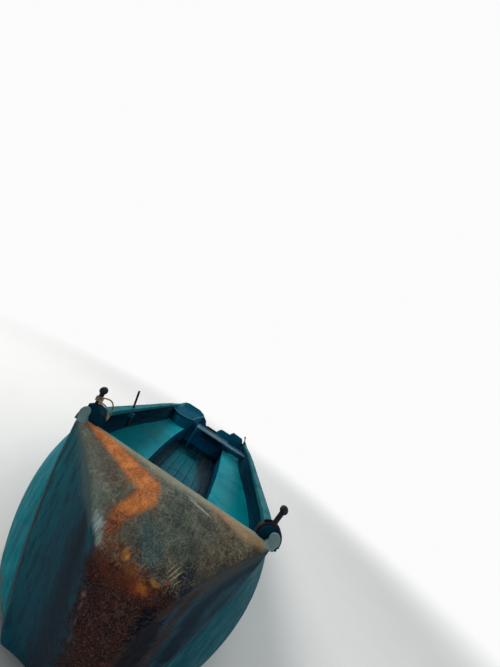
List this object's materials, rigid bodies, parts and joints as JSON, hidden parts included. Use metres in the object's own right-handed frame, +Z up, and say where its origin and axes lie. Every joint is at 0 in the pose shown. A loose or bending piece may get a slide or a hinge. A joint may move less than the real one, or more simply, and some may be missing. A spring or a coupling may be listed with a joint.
{
  "type": "rowing boat",
  "caption": "Broad-bowed open wooden rowing boat sheathed in painted glass fibre, drawn up ashore, with side benches, a central well, a stern corner seat and iron mooring pins",
  "frame": {"origin": "centre of the footprint on the ground under the keel strip and the two runners", "axes": "+Z up, bow towards -Y, stern towards +Y, port side on +X"},
  "size_m": [2.0757, 5.5984, 1.28],
  "materials": {
    "hull_paint": "teal gel coat over glass fibre, chalked, streaked and rubbed brown along the bow crease",
    "worn_bow": "glass fibre worn grey brown, with an orange rust-coloured stripe and a bare dark stem",
    "gunwale_paint": "pale teal grey paint, scuffed",
    "bench_paint": "glossy teal paint with seams and dirt",
    "inner_paint": "dark teal paint with stains",
    "bare_wood": "bare weathered wood",
    "black_rubber": "black rubber hose, dusty",
    "dark_iron": "blackened iron, pitted",
    "tarred_rope": "three-strand tan rope, weathered"
  },
  "bodies": {
    "root": {"hull_bottom": "hull_paint", "hull_side_port": "hull_paint", "hull_side_starboard": "hull_paint", "bow_block": "worn_bow", "gunwale_port": "gunwale_paint", "gunwale_starboard": "gunwale_paint", "keel_strip": "bare_wood", "runner_port": "bare_wood", "runner_starboard": "bare_wood", "bench_fore_port": "bench_paint", "bench_aft_port": "bench_paint", "bench_fore_starboard": "bench_paint", "bench_strip_starboard": "bench_paint", "bench_aft_starboard": "bench_paint", "locker_front_port": "inner_paint", "locker_front_starboard": "inner_paint", "floorboards": "bench_paint", "floor_bearers": "bare_wood", "aft_bulkhead": "inner_paint", "cross_plank": "gunwale_paint", "well_post": "inner_paint", "transom": "inner_paint", "transom_pad": "bare_wood", "corner_seat": "bench_paint", "seat_wall": "inner_paint", "bow_ear_port": "inner_paint", "bow_ear_starboard": "inner_paint", "bow_lip_port": "gunwale_paint", "bow_lip_starboard": "gunwale_paint", "chafing_band_port": "black_rubber", "bow_pin_port": "dark_iron", "bow_pin_starboard": "dark_iron", "lashing_coil": "tarred_rope", "lashing_bight": "tarred_rope", "thole_pin": "dark_iron", "thole_eye": "inner_paint", "stern_post": "dark_iron"}
  },
  "joints": []
}
